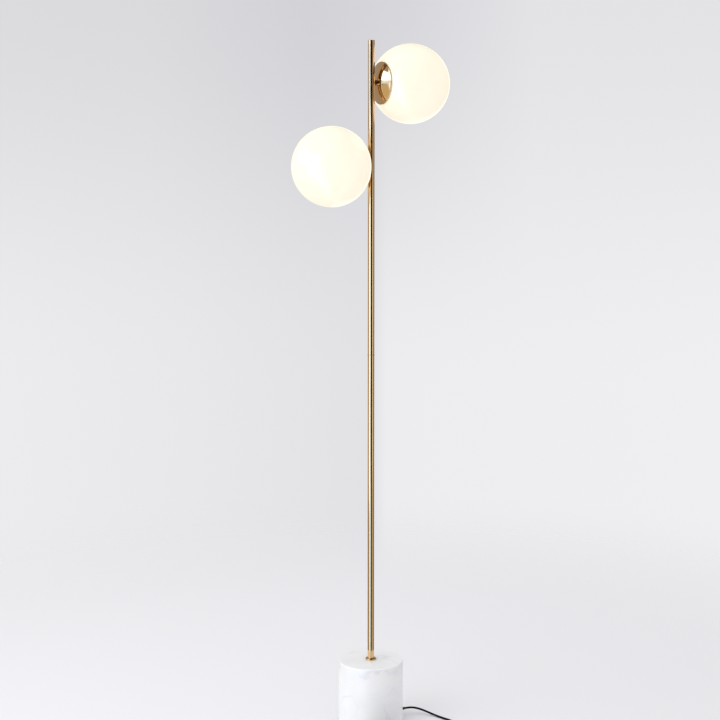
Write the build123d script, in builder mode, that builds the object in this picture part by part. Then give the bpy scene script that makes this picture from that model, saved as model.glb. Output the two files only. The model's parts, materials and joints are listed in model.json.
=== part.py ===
"""Globe floor lamp: two opal glass globes on a slim brass pole over a marble block.

The frame is in millimetres. Z is up, and the origin is on the floor under the pole. The two arms
lie along X: the upper globe hangs on the +X side and the lower globe on the -X side. The mains
lead leaves the block near its foot on the +X side, and its coil lies in front, on the -Y side.
"""

import math
import os
from build123d import *

# ---- Fits ---------------------------------------------------------------------------------------
slip = 0.1  # gap around a piece that slides over or into another
running = 0.3  # gap between pieces that move past each other

# ---- Marble block and its fixings ---------------------------------------------------------------
block_diameter = 160.0
block_top = 160.0
block_edge_round = 2.5
block_foot_bevel = 1.5
block_bore_slack = 1.0  # between the rod and the bore through the stone
cavity_diameter = 104.0
cavity_depth = 34.0
pad_thickness = 2.5
pad_margin = 2.0  # how far the felt stays inside the block's side
thread_diameter = 10.0  # the lamp thread of the rod, the nipples and their nuts
thread_bore = 7.0
rod_stick_out = 9.5  # length of the rod below the cavity's ceiling
washer_diameter = 40.0
washer_thickness = 2.5
block_nut_width = 16.0
block_nut_thickness = 5.0

# ---- Collar and pole ----------------------------------------------------------------------------
collar_diameter = 27.0
collar_height = 4.5
collar_floor = 1.5
collar_top_round = 2.0
pole_diameter = 16.0
pole_wall = 1.2
pole_top = 1674.0
insert_length = 25.0
rod_in_insert = 20.0
joint_height = 924.7  # middle of the ring where the two pole tubes meet
joint_ring_proud = 0.6
joint_ring_thickness = 3.0
joint_ring_round = 0.8
joint_spigot = 30.0
joint_bore = 9.0
cap_thickness = 2.0
cap_spigot = 12.0
cap_round = 0.6

# ---- Lamp heads: distances along an arm are counted from the pole's axis ------------------------
upper_arm_drop = 99.5  # from the pole's top down to the upper arm
arm_spacing = 196.5
stem_length = 12.5
stem_wall = 1.9
nipple_inset = 1.2  # how far the nipple reaches into the pole's bore
nipple_in_holder = 6.8
dish_diameter = 101.0
dish_dome_depth = 5.4
dish_lip = 1.6
dish_wall = 1.2
dish_shoulder_round = 1.0
locknut_width = 14.0
locknut_thickness = 4.0
gallery_inset = 4.3  # from the dish's edge in to the gallery ring
gallery_wall = 3.2
gallery_length = 11.0
gasket_width = 3.4
gasket_thickness = 1.0

# ---- Globes -------------------------------------------------------------------------------------
globe_diameter = 190.0
globe_wall = 3.0
mouth_round = 0.25
mouth_collar_wall = 2.0
mouth_collar_land = 3.7  # width of its flange, which fills the glass's mouth
mouth_collar_flange = 2.0
mouth_collar_length = 9.0

# ---- Lampholder and bulb ------------------------------------------------------------------------
holder_gap = 0.4  # between the locknut and the holder
holder_back_diameter = 20.0
holder_diameter = 39.0
holder_shoulder = 10.0
holder_length = 41.3
holder_septum = 13.8  # from the holder's back to the wall that carries the contacts
holder_septum_wall = 3.0
holder_chamber_diameter = 32.0
socket_diameter = 27.8
cap_shell_diameter = 26.4
bulb_cap_length = 24.7
bulb_contact_diameter = 10.0
bulb_contact_length = 1.7
bulb_neck_diameter = 31.0
bulb_diameter = 60.0
bulb_length = 108.0
bulb_wall = 1.5

# ---- Wiring inside ------------------------------------------------------------------------------
lead_diameter = 2.6
lead_offset = 1.5  # each of the two leads runs this far from the pole's axis
lead_bend = 6.0
terminal_length = 16.0
terminal_width = 18.0
terminal_height = 14.0
terminal_round = 1.5
terminal_start = 12.0  # from the pole's axis to its near end
terminal_bore = 3.4
terminal_bore_height = 11.0
terminal_spacing = 7.0
# Where each lead loops from its terminal up to the rod: the distance along X, and the height.
lead_loop = [(3, 11), (-6, 13.5), (-7.5, 20)]
inner_bend = 20.0  # of the cord on its way down from the bushing to the terminals
inner_straight = 5.4

# ---- Mains lead ---------------------------------------------------------------------------------
cord_diameter = 5.0
exit_height = 16.0  # middle of the hole through which the cord leaves the block
bushing_diameter = 8.0
bushing_flange_diameter = 10.6
bushing_flange = 3.0
bushing_tail = 18.0
bushing_tip_wall = 0.6
# Where the cord lies, point by point, from the block to the foot switch.
run_route = [
    (98, 0, 16), (113, 0, 16), (127, -6.5, 14), (140, -17, 10), (149.5, -31.5, 6.3), (158, -48, 3.4),
    (165, -68, 2.5), (173, -89, 2.5), (178.5, -112, 2.5), (177.5, -137, 2.5), (168.5, -160, 2.5),
    (153, -178, 3), (134, -190.5, 5.4), (117, -195.5, 8), (103, -195.5, 8),
]
# From the switch to the coil, and from the coil to the plug.
tail_route = [(-3, -195.5, 8), (-14, -195.5, 8), (-26, -195.9, 6), (-37, -195.5, 3.9), (-48, -195.5, 3.9)]
end_route = [
    (-48, -111, 9.4), (-36, -111, 9.4), (-24, -114, 8.6), (-12, -119.5, 7.4), (0, -124, 7), (12, -124, 7),
]

# ---- Coil of the length that is put away --------------------------------------------------------
coil_centre_x = -48.0
coil_centre_y = -156.0
coil_outer_radius = 39.5
coil_half_turns = 7  # in each of the two layers
coil_clearance = 0.5  # between neighbouring turns, and between the two layers
coil_lift = 1.4  # the straps under the coil hold it this far off the floor
tie_width = 8.0
tie_thickness = 0.9
tie_round = 1.5
tie_slack = 1.6

# ---- Foot switch --------------------------------------------------------------------------------
switch_x = 50.0
switch_y = -195.5
switch_length = 76.0
switch_width = 34.0
switch_parting = 8.0
switch_top = 20.0
switch_wall = 2.0
switch_top_round = 4.5
switch_foot_round = 1.0
button_diameter = 22.0
button_flange_diameter = 26.0
button_flange = 2.0
button_proud = 3.6
button_top_round = 1.5
button_travel = 3.0
spring_diameter = 12.4
spring_wire = 1.2
spring_post_height = 6.0
relief_diameter = 8.4
relief_collar_diameter = 11.0
relief_collar = 2.5
relief_tail = 15.0
screw_spread_x = 46.0
screw_spread_y = 20.0
screw_boss_diameter = 5.6
screw_diameter = 2.2
screw_head_diameter = 4.4
screw_length = 14.0
screw_cone_angle = 90.0
contact_spread = 40.0
contact_size = 8.0
contact_height = 5.0
contact_chamfer = 0.6

# ---- Plug ---------------------------------------------------------------------------------------
plug_width = 35.0
plug_thickness = 14.0
plug_length = 36.0
plug_back_width = 16.0
plug_shoulder = 14.0
plug_edge_round = 3.0
plug_relief_length = 22.0
plug_relief_diameter = 10.0
pin_spacing = 18.6
pin_diameter = 4.0
pin_length = 19.0
pin_sleeve = 10.0
pin_neck_diameter = 3.0
pin_tip_flat = 0.8

# ---- Values worked out from the ones above ------------------------------------------------------
block_radius = block_diameter / 2
cavity_ceiling = pad_thickness + cavity_depth
rod_foot = cavity_ceiling - rod_stick_out
thread_hole = thread_diameter / 2 + slip
pole_radius = pole_diameter / 2
pole_bore = pole_radius - pole_wall
pole_foot = block_top + collar_floor
block_bore_radius = thread_diameter / 2 + block_bore_slack
upper_arm_height = pole_top - upper_arm_drop
lower_arm_height = upper_arm_height - arm_spacing
stem_radius = thread_hole + stem_wall
dish_radius = dish_diameter / 2
dish_apex = pole_radius + stem_length
dish_rim = dish_apex + dish_dome_depth + dish_lip
dome_radius = (dish_radius**2 + dish_dome_depth**2) / (2 * dish_dome_depth)
gallery_radius = dish_radius - gallery_inset
collar_inner = gallery_radius + running
collar_flange = collar_inner + mouth_collar_land
gasket_start = dish_rim + running
mouth = gasket_start + gasket_thickness + running / 2
mouth_radius = collar_flange + slip
globe_radius = globe_diameter / 2
globe_reach = mouth + math.sqrt((globe_radius - globe_wall) ** 2 - mouth_radius**2)
locknut_seat = dish_apex + dish_wall + slip + (locknut_width / math.sqrt(3)) ** 2 / (2 * dome_radius)
holder_back = locknut_seat + locknut_thickness + holder_gap
nipple_end = holder_back + nipple_in_holder
socket_depth = holder_back + holder_septum + holder_septum_wall
bulb_start = socket_depth + running
terminal_end = terminal_start + terminal_length
bushing_seat = math.sqrt((cavity_diameter / 2) ** 2 - (bushing_flange_diameter / 2) ** 2) - slip
bushing_inner = bushing_seat - bushing_flange
cord_tip_radius = cord_diameter / 2 + bushing_tip_wall
coil_spacing = cord_diameter + coil_clearance
coil_height = cord_diameter / 2 + coil_lift


def save(piece, label):
    """Name a finished piece and write its file."""
    piece.part.label = label
    export_step(piece.part, f"parts/{label}.step")


def arm_plane(side, height):
    """The upright plane through an arm: x runs out from the pole's axis, and y is the radius."""
    return Plane(origin=(0, 0, height), x_dir=(side, 0, 0), z_dir=(0, -side, 0))


def dome(radius, inset=0.0):
    """How far out the dish's dome lies at a radius, on its back or an inset in from it."""
    return dish_apex + dome_radius - math.sqrt((dome_radius - inset) ** 2 - radius**2)


def corner_radii(points):
    """The arc at each corner of a cord: as large as the shorter of its two runs allows."""
    vectors = [Vector(*point) for point in points]
    radii = []
    for before, corner, after in zip(vectors, vectors[1:], vectors[2:]):
        turn = math.radians((corner - before).get_angle(after - corner))
        shorter = min((corner - before).length, (after - corner).length)
        radii.append(0.45 * shorter / math.tan(turn / 2))
    return radii


def report_tube(label, tube, length, diameter):
    """Print how a tube's volume compares with its section times its length."""
    section = math.pi * diameter**2 / 4
    share = tube.part.volume / (section * length)
    print(f"{label}: {length:.1f} mm long, volume / (section x length) {share:.4f}")


def make_cord(label, points, diameter, radii=None):
    """One stretch of cord or lead, as straight runs joined by tangent arcs."""
    radii = radii or corner_radii(points)
    with BuildPart() as cord:
        with BuildLine() as path:
            if len(points) > 2:
                FilletPolyline(*points, radius=radii)
            else:
                Line(*points)
        route = path.wire()
        with BuildSketch(Plane(origin=route @ 0, z_dir=route % 0)):
            Circle(diameter / 2)
        sweep(path=route)
    if radii:
        print(f"{label}: radii {', '.join(f'{radius:.0f}' for radius in radii)} mm")
    report_tube(label, cord, route.length, diameter)
    save(cord, label)


# ---- Marble block -------------------------------------------------------------------------------


def make_block():
    """The stone block, with a bore for the rod, a cavity underneath and a hole for the cord."""
    with BuildPart() as marble_base:
        with BuildSketch(Plane.XY.offset(pad_thickness)):
            Circle(block_radius)
        extrude(amount=block_top - pad_thickness)
        fillet(marble_base.edges().group_by(Axis.Z)[-1], block_edge_round)
        chamfer(marble_base.edges().group_by(Axis.Z)[0], block_foot_bevel)
        with BuildSketch(Plane.XY.offset(pad_thickness)):
            Circle(cavity_diameter / 2)
        extrude(amount=cavity_depth, mode=Mode.SUBTRACT)
        with BuildSketch(Plane.XY.offset(cavity_ceiling)):
            Circle(block_bore_radius)
        extrude(amount=block_top - cavity_ceiling, mode=Mode.SUBTRACT)
        with BuildSketch(Plane.YZ):
            with Locations((0, exit_height)):
                Circle(bushing_diameter / 2 + slip)
        extrude(amount=block_diameter, mode=Mode.SUBTRACT)
    save(marble_base, "marble_base")

    with BuildPart() as base_pad:
        with BuildSketch():
            Circle(block_radius - pad_margin)
        extrude(amount=pad_thickness)
    save(base_pad, "base_pad")


def make_block_fixings():
    """The threaded rod that clamps the pole to the block, with its washer and nut."""
    with BuildPart() as base_rod:
        with BuildSketch(Plane.XY.offset(rod_foot)):
            Circle(thread_diameter / 2)
            Circle(thread_bore / 2, mode=Mode.SUBTRACT)
        extrude(amount=pole_foot + rod_in_insert - rod_foot)
    save(base_rod, "base_threaded_rod")

    with BuildPart() as base_washer:
        with BuildSketch(Plane.XY.offset(cavity_ceiling - washer_thickness)):
            Circle(washer_diameter / 2)
            Circle(thread_hole, mode=Mode.SUBTRACT)
        extrude(amount=washer_thickness)
    save(base_washer, "base_washer")

    with BuildPart() as base_nut:
        with BuildSketch(Plane.XY.offset(cavity_ceiling - washer_thickness - block_nut_thickness)):
            RegularPolygon(block_nut_width / 2, 6, major_radius=False)
            Circle(thread_hole, mode=Mode.SUBTRACT)
        extrude(amount=block_nut_thickness)
    save(base_nut, "base_nut")

    with BuildPart() as base_collar:
        with BuildSketch(Plane.XY.offset(block_top)):
            Circle(collar_diameter / 2)
        extrude(amount=collar_height)
        fillet(base_collar.edges().group_by(Axis.Z)[-1], collar_top_round)
        with BuildSketch(Plane.XY.offset(pole_foot)):
            Circle(pole_radius + slip)
        extrude(amount=collar_height, mode=Mode.SUBTRACT)
        with BuildSketch(Plane.XY.offset(block_top)):
            Circle(thread_hole)
        extrude(amount=collar_floor, mode=Mode.SUBTRACT)
    save(base_collar, "base_collar")


# ---- Pole ---------------------------------------------------------------------------------------


def make_pole_tube(label, foot, top, arms=()):
    """A length of the pole's tube, with a hole in its side for each arm's side and height."""
    with BuildPart() as tube:
        with BuildSketch(Plane.XY.offset(foot)):
            Circle(pole_radius)
            Circle(pole_bore, mode=Mode.SUBTRACT)
        extrude(amount=top - foot)
        for side, height in arms:
            with BuildSketch(Plane.YZ):
                with Locations((0, height)):
                    Circle(thread_hole)
            extrude(amount=side * pole_diameter, mode=Mode.SUBTRACT)
    save(tube, label)


def make_pole():
    """Two tubes that meet at a ring, an insert at the foot and a cap on top."""
    ring_foot = joint_height - joint_ring_thickness / 2
    ring_top = joint_height + joint_ring_thickness / 2
    tube_top = pole_top - cap_thickness
    make_pole_tube("pole_lower", pole_foot, ring_foot)
    make_pole_tube("pole_upper", ring_top, tube_top, [(-1, lower_arm_height), (1, upper_arm_height)])

    with BuildPart() as pole_insert:
        with BuildSketch(Plane.XY.offset(pole_foot)):
            Circle(pole_bore - slip)
            Circle(thread_hole, mode=Mode.SUBTRACT)
        extrude(amount=insert_length)
    save(pole_insert, "pole_foot_insert")

    with BuildPart() as pole_joint:
        with BuildSketch(Plane.XY.offset(ring_foot)):
            Circle(pole_radius + joint_ring_proud)
        extrude(amount=joint_ring_thickness)
        fillet(pole_joint.edges(), joint_ring_round)
        with BuildSketch(Plane.XY.offset(ring_foot - joint_spigot)):
            Circle(pole_bore - slip)
        extrude(amount=2 * joint_spigot + joint_ring_thickness)
        with BuildSketch(Plane.XY.offset(ring_foot - joint_spigot)):
            Circle(joint_bore / 2)
        extrude(amount=2 * joint_spigot + joint_ring_thickness, mode=Mode.SUBTRACT)
    save(pole_joint, "pole_joint")

    with BuildPart() as pole_cap:
        with BuildSketch(Plane.XY.offset(tube_top)):
            Circle(pole_radius)
        extrude(amount=cap_thickness)
        fillet(pole_cap.edges().group_by(Axis.Z)[-1], cap_round)
        with BuildSketch(Plane.XY.offset(tube_top - cap_spigot)):
            Circle(pole_bore - slip)
        extrude(amount=cap_spigot)
    save(pole_cap, "pole_cap")


# ---- Lamp heads ---------------------------------------------------------------------------------


def make_arm(name, side, height):
    """The short stem between the pole and the dish, the nipple through it and the nut on it."""
    axis = Axis((0, 0, height), (1, 0, 0))
    plane = arm_plane(side, height)
    across = Plane(origin=(0, 0, height), z_dir=(side, 0, 0))
    with BuildPart() as stem:
        with BuildSketch(across):
            Circle(stem_radius)
            Circle(thread_hole, mode=Mode.SUBTRACT)
        extrude(amount=dish_apex)
        with BuildSketch(Plane.XY.offset(height - 2 * stem_radius)):
            Circle(pole_radius + slip)
        extrude(amount=4 * stem_radius, mode=Mode.SUBTRACT)
    save(stem, f"{name}_arm_stem")

    with BuildPart() as nipple:
        with BuildSketch(across.offset(pole_bore - nipple_inset)):
            Circle(thread_diameter / 2)
            Circle(thread_bore / 2, mode=Mode.SUBTRACT)
        extrude(amount=nipple_end - (pole_bore - nipple_inset))
    save(nipple, f"{name}_arm_nipple")

    with BuildPart() as dish:
        with BuildSketch(plane) as dish_wall_section:
            with BuildLine():
                middle = dish_radius / 2
                rim_inner = dish_radius - dish_wall
                ThreePointArc(
                    (dome(thread_hole), thread_hole),
                    (dome(middle), middle),
                    (dome(dish_radius), dish_radius),
                )
                Polyline(
                    (dome(dish_radius), dish_radius),
                    (dish_rim, dish_radius),
                    (dish_rim, rim_inner),
                    (dome(rim_inner, dish_wall), rim_inner),
                )
                ThreePointArc(
                    (dome(rim_inner, dish_wall), rim_inner),
                    (dome(middle, dish_wall), middle),
                    (dome(thread_hole, dish_wall), thread_hole),
                )
                Line((dome(thread_hole, dish_wall), thread_hole), (dome(thread_hole), thread_hole))
            make_face()
            shoulder = dish_wall_section.vertices().group_by(Axis.Y)[-1].sort_by(Axis.X)[0]
            fillet(shoulder, dish_shoulder_round)
        revolve(axis=axis)
    save(dish, f"{name}_dish")

    with BuildPart() as locknut:
        with BuildSketch(across.offset(locknut_seat)):
            RegularPolygon(locknut_width / 2, 6, major_radius=False)
            Circle(thread_hole, mode=Mode.SUBTRACT)
        extrude(amount=locknut_thickness)
    save(locknut, f"{name}_holder_locknut")

    with BuildPart() as gallery:
        with BuildSketch(plane):
            with BuildLine():
                inner = gallery_radius - gallery_wall
                middle = gallery_radius - gallery_wall / 2
                seat = dish_wall + slip / 2
                end = dome(gallery_radius, seat) + gallery_length
                ThreePointArc(
                    (dome(inner, seat), inner),
                    (dome(middle, seat), middle),
                    (dome(gallery_radius, seat), gallery_radius),
                )
                Polyline(
                    (dome(gallery_radius, seat), gallery_radius),
                    (end, gallery_radius),
                    (end, inner),
                    (dome(inner, seat), inner),
                )
            make_face()
        revolve(axis=axis)
    save(gallery, f"{name}_gallery_ring")


def make_globe(name, side, height):
    """The opal glass, the threaded collar cemented in its mouth and the gasket behind it."""
    axis = Axis((0, 0, height), (1, 0, 0))
    plane = arm_plane(side, height)
    glass_outer = math.sqrt(globe_radius**2 - (globe_reach - mouth) ** 2)
    far = globe_reach + globe_radius
    with BuildPart() as glass:
        with BuildSketch(plane) as glass_section:
            with BuildLine():
                ThreePointArc((mouth, glass_outer), (globe_reach, globe_radius), (far, 0))
                Line((far, 0), (far - globe_wall, 0))
                ThreePointArc(
                    (far - globe_wall, 0), (globe_reach, globe_radius - globe_wall), (mouth, mouth_radius)
                )
                Line((mouth, mouth_radius), (mouth, glass_outer))
            make_face()
            fillet(glass_section.vertices().group_by(Axis.X)[0], mouth_round)
        revolve(axis=axis)
    save(glass, f"{name}_globe_glass")

    with BuildPart() as mouth_collar:
        with BuildSketch(plane):
            with BuildLine():
                sleeve = collar_inner + mouth_collar_wall
                Polyline(
                    (mouth, collar_inner),
                    (mouth, collar_flange),
                    (mouth + mouth_collar_flange, collar_flange),
                    (mouth + mouth_collar_flange, sleeve),
                    (mouth + mouth_collar_length, sleeve),
                    (mouth + mouth_collar_length, collar_inner),
                    (mouth, collar_inner),
                )
            make_face()
        revolve(axis=axis)
    save(mouth_collar, f"{name}_globe_collar")

    with BuildPart() as gasket:
        with BuildSketch(Plane(origin=(side * gasket_start, 0, height), z_dir=(side, 0, 0))):
            Circle(collar_inner + gasket_width)
            Circle(collar_inner, mode=Mode.SUBTRACT)
        extrude(amount=gasket_thickness)
    save(gasket, f"{name}_globe_gasket")


def make_holder(name, side, height):
    """The lampholder on the nipple, and the bulb in it."""
    axis = Axis((0, 0, height), (1, 0, 0))
    plane = arm_plane(side, height)
    holder_end = holder_back + holder_length
    septum = holder_back + holder_septum
    with BuildPart() as holder:
        with BuildSketch(plane):
            with BuildLine():
                Polyline(
                    (holder_back, thread_hole),
                    (holder_back, holder_back_diameter / 2),
                    (holder_back + holder_shoulder, holder_diameter / 2),
                    (holder_end, holder_diameter / 2),
                    (holder_end, socket_diameter / 2),
                    (socket_depth, socket_diameter / 2),
                    (socket_depth, 0),
                    (septum, 0),
                    (septum, holder_chamber_diameter / 2),
                    (nipple_end + running, holder_chamber_diameter / 2),
                    (nipple_end + running, thread_hole),
                    (holder_back, thread_hole),
                )
            make_face()
        revolve(axis=axis)
    save(holder, f"{name}_lampholder")

    cap_end = bulb_start + bulb_cap_length
    with BuildPart() as bulb_cap:
        with BuildSketch(plane):
            with BuildLine():
                Polyline(
                    (bulb_start, 0),
                    (bulb_start, bulb_contact_diameter / 2),
                    (bulb_start + bulb_contact_length, cap_shell_diameter / 2),
                    (cap_end, cap_shell_diameter / 2),
                    (cap_end, 0),
                    (bulb_start, 0),
                )
            make_face()
        revolve(axis=axis)
    save(bulb_cap, f"{name}_bulb_cap")

    bulb_end = bulb_start + bulb_length
    bulb_middle = bulb_end - bulb_diameter / 2
    with BuildPart() as bulb_glass:
        with BuildSketch(plane):
            for inset, mode in ((0, Mode.ADD), (bulb_wall, Mode.SUBTRACT)):
                neck = bulb_neck_diameter / 2 - inset
                radius = bulb_diameter / 2 - inset
                # The neck flares in a straight line that meets the ball at a tangent.
                away = math.atan2(neck, cap_end - bulb_middle)
                touch = away - math.acos(radius / math.hypot(neck, cap_end - bulb_middle))
                with BuildLine():
                    shoulder = (bulb_middle + radius * math.cos(touch), radius * math.sin(touch))
                    tip = (bulb_middle + radius, 0)
                    Polyline((cap_end, 0), (cap_end, neck), shoulder)
                    RadiusArc(shoulder, tip, radius)
                    Line(tip, (cap_end, 0))
                make_face(mode=mode)
        revolve(axis=axis)
    save(bulb_glass, f"{name}_bulb_glass")


# ---- Wiring inside ------------------------------------------------------------------------------


def make_wiring():
    """The terminal block in the cavity and a lead from it to each lampholder."""
    with BuildPart() as terminal_block:
        with BuildSketch(Plane.XY.offset(pad_thickness)):
            with Locations((terminal_start + terminal_length / 2, 0)):
                Rectangle(terminal_length, terminal_width)
        extrude(amount=terminal_height)
        fillet(terminal_block.edges().filter_by(Axis.Z), terminal_round)
        with BuildSketch(Plane.YZ.offset(terminal_start)):
            with Locations((0, terminal_bore_height)):
                with GridLocations(terminal_spacing, 0, 2, 1):
                    Circle(terminal_bore / 2)
        extrude(amount=terminal_length / 2, mode=Mode.SUBTRACT)
    save(terminal_block, "terminal_block")

    lead_end = holder_back + holder_septum - running
    for name, side, height in (("upper", 1, upper_arm_height), ("lower", -1, lower_arm_height)):
        line = side * lead_offset
        terminal = side * terminal_spacing / 2
        points = [
            (terminal_start + terminal_length / 4, terminal, terminal_bore_height),
            *((along, terminal, up) for along, up in lead_loop),
            (0, line, rod_foot),
            (0, line, height),
            (side * lead_end, line, height),
        ]
        radii = corner_radii(points)
        radii[-1] = lead_bend
        make_cord(f"lead_{name}", points, lead_diameter, radii)

    start = bushing_inner - slip
    end = terminal_end + slip
    points = [
        (start, 0, exit_height),
        (start - inner_straight, 0, exit_height),
        (end + inner_straight, 0, terminal_bore_height),
        (end, 0, terminal_bore_height),
    ]
    make_cord("mains_lead_inner", points, cord_diameter, [inner_bend, inner_bend])


# ---- Mains lead ---------------------------------------------------------------------------------


def make_bushing():
    """The moulded bushing that grips the cord in the block's hole and tapers along it outside."""
    with BuildPart() as bushing:
        with BuildSketch(Plane(origin=(0, 0, exit_height), x_dir=(1, 0, 0), z_dir=(0, -1, 0))):
            with BuildLine():
                Polyline(
                    (bushing_inner, 0),
                    (bushing_inner, bushing_flange_diameter / 2),
                    (bushing_seat, bushing_flange_diameter / 2),
                    (bushing_seat, bushing_diameter / 2),
                    (block_radius, bushing_diameter / 2),
                    (block_radius + bushing_tail, cord_tip_radius),
                    (block_radius + bushing_tail, 0),
                    (bushing_inner, 0),
                )
            make_face()
        revolve(axis=Axis((0, 0, exit_height), (1, 0, 0)))
    save(bushing, "cord_bushing")


def coil_nodes():
    """The ends of the coil's half turns: in along the lower layer, up, and out along the upper one.

    All lie on one line through the coil's middle. Each half turn is half a spacing smaller than the
    one before it, and after the climb each is half a spacing larger.
    """
    step = coil_spacing / 2
    radii = [coil_outer_radius - step * count for count in range(coil_half_turns + 1)]
    radii += radii[-2::-1]
    place = coil_outer_radius
    nodes = [(place, coil_height)]
    for count, radius in enumerate(radii):
        place += 2 * radius if count % 2 else -2 * radius
        height = coil_height if count < coil_half_turns else coil_height + coil_spacing
        nodes.append((place, height))
    return nodes


def coil_gap(path, diameter):
    """The least gap between turns of the coil, on points along its middle line."""
    count = 900
    points = [path @ (index / count) for index in range(count + 1)]
    apart = int(count * math.pi * diameter * 2 / path.length)
    least = min(
        (points[first] - points[second]).length
        for first in range(0, count + 1, 2)
        for second in range(first + apart, count + 1)
    )
    return least - diameter


def make_coil():
    """The put-away length, as one tube wound in two layers."""
    with BuildPart() as coil:
        with BuildLine() as path:
            nodes = coil_nodes()
            for count, ((start, low), (end, high)) in enumerate(zip(nodes, nodes[1:])):
                heading = 1 if count % 2 else -1
                first = Vector(coil_centre_x, coil_centre_y - start, low)
                last = Vector(coil_centre_x, coil_centre_y - end, high)
                half = (last - first).length / 2
                middle = (first + last) * 0.5 + Vector(heading * half, 0, 0)
                TangentArc(first, middle, tangent=(heading, 0, 0))
                TangentArc(middle, last, tangent=last - first)
        route = path.wire()
        with BuildSketch(Plane(origin=route @ 0, z_dir=route % 0)):
            Circle(cord_diameter / 2)
        sweep(path=route)
    report_tube("cord_coil", coil, route.length, cord_diameter)
    print(f"cord_coil: least gap between turns {coil_gap(route, cord_diameter):.2f} mm")
    save(coil, "cord_coil")


def make_ties():
    """Two straps round the coil, one on each side."""
    step = coil_spacing / 2
    outer = [coil_outer_radius, coil_outer_radius - step]
    inner = [radius - step * (coil_half_turns - 1) for radius in outer]
    low = coil_height - cord_diameter / 2 - running
    high = coil_height + coil_spacing + cord_diameter / 2 + running
    with BuildPart() as ties:
        for side, far, near in ((-1, outer[0], inner[0]), (1, outer[1], inner[1])):
            far += cord_diameter / 2 + running
            near -= cord_diameter / 2 + tie_slack
            middle = coil_centre_x + side * (far + near) / 2
            place = coil_centre_y + step + tie_width / 2
            plane = Plane(origin=(middle, place, (low + high) / 2), x_dir=(1, 0, 0), z_dir=(0, -1, 0))
            with BuildSketch(plane):
                around = 2 * tie_thickness
                RectangleRounded(far - near + around, high - low + around, tie_round + tie_thickness)
                RectangleRounded(far - near, high - low, tie_round, mode=Mode.SUBTRACT)
            extrude(amount=tie_width)
    save(ties, "cord_ties")


# ---- Foot switch --------------------------------------------------------------------------------


def make_switch_shells():
    """The lower and upper shell, which grip the cord's two sleeves between them."""
    cover_foot = switch_parting
    with BuildPart() as switch_base:
        with BuildSketch():
            with Locations((switch_x, switch_y)):
                SlotOverall(switch_length, switch_width)
        extrude(amount=switch_parting)
        fillet(switch_base.edges().group_by(Axis.Z)[0], switch_foot_round)
        with BuildSketch(Plane.XY.offset(switch_wall)):
            with Locations((switch_x, switch_y)):
                SlotOverall(switch_length - 2 * switch_wall, switch_width - 2 * switch_wall)
        extrude(amount=switch_parting, mode=Mode.SUBTRACT)
        with BuildSketch(Plane.XY.offset(switch_wall)):
            with Locations((switch_x, switch_y)):
                Circle(spring_diameter / 2 - spring_wire - slip)
        extrude(amount=spring_post_height)
        with BuildSketch(Plane.XY.offset(switch_wall)):
            with Locations((switch_x, switch_y)):
                with GridLocations(screw_spread_x, screw_spread_y, 2, 2):
                    Circle(screw_boss_diameter / 2)
        extrude(amount=switch_parting - switch_wall)
        with Locations((switch_x, switch_y, 0)):
            with GridLocations(screw_spread_x, screw_spread_y, 2, 2):
                with Locations(Location((0, 0, 0), (180, 0, 0))):
                    hole = screw_diameter / 2 + slip
                    head = screw_head_diameter / 2 + slip
                    CounterSinkHole(hole, head, switch_parting, screw_cone_angle)
        with BuildSketch(Plane.YZ.offset(switch_x - switch_length)):
            with Locations((switch_y, switch_parting)):
                Circle(relief_diameter / 2 + slip)
        extrude(amount=2 * switch_length, mode=Mode.SUBTRACT)
    save(switch_base, "switch_base")

    with BuildPart() as switch_cover:
        with BuildSketch(Plane.XY.offset(cover_foot)):
            with Locations((switch_x, switch_y)):
                SlotOverall(switch_length, switch_width)
        extrude(amount=switch_top - cover_foot)
        fillet(switch_cover.edges().group_by(Axis.Z)[-1], switch_top_round)
        with BuildSketch(Plane.XY.offset(cover_foot)):
            with Locations((switch_x, switch_y)):
                SlotOverall(switch_length - 2 * switch_wall, switch_width - 2 * switch_wall)
        extrude(amount=switch_top - cover_foot - switch_wall, mode=Mode.SUBTRACT)
        with BuildSketch(Plane.XY.offset(cover_foot)):
            with Locations((switch_x, switch_y)):
                with GridLocations(screw_spread_x, screw_spread_y, 2, 2):
                    Circle(screw_boss_diameter / 2)
        extrude(amount=switch_top - cover_foot - switch_wall)
        with BuildSketch(Plane.XY.offset(cover_foot)):
            with Locations((switch_x, switch_y)):
                Circle(button_diameter / 2 + running)
                with GridLocations(screw_spread_x, screw_spread_y, 2, 2):
                    Circle(screw_diameter / 2 + slip)
        extrude(amount=switch_top - cover_foot - switch_wall, mode=Mode.SUBTRACT)
        with BuildSketch(Plane.XY.offset(cover_foot)):
            with Locations((switch_x, switch_y)):
                Circle(button_diameter / 2 + running)
        extrude(amount=switch_top, mode=Mode.SUBTRACT)
        with BuildSketch(Plane.YZ.offset(switch_x - switch_length)):
            with Locations((switch_y, switch_parting)):
                Circle(relief_diameter / 2 + slip)
        extrude(amount=2 * switch_length, mode=Mode.SUBTRACT)
    save(switch_cover, "switch_cover")


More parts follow.
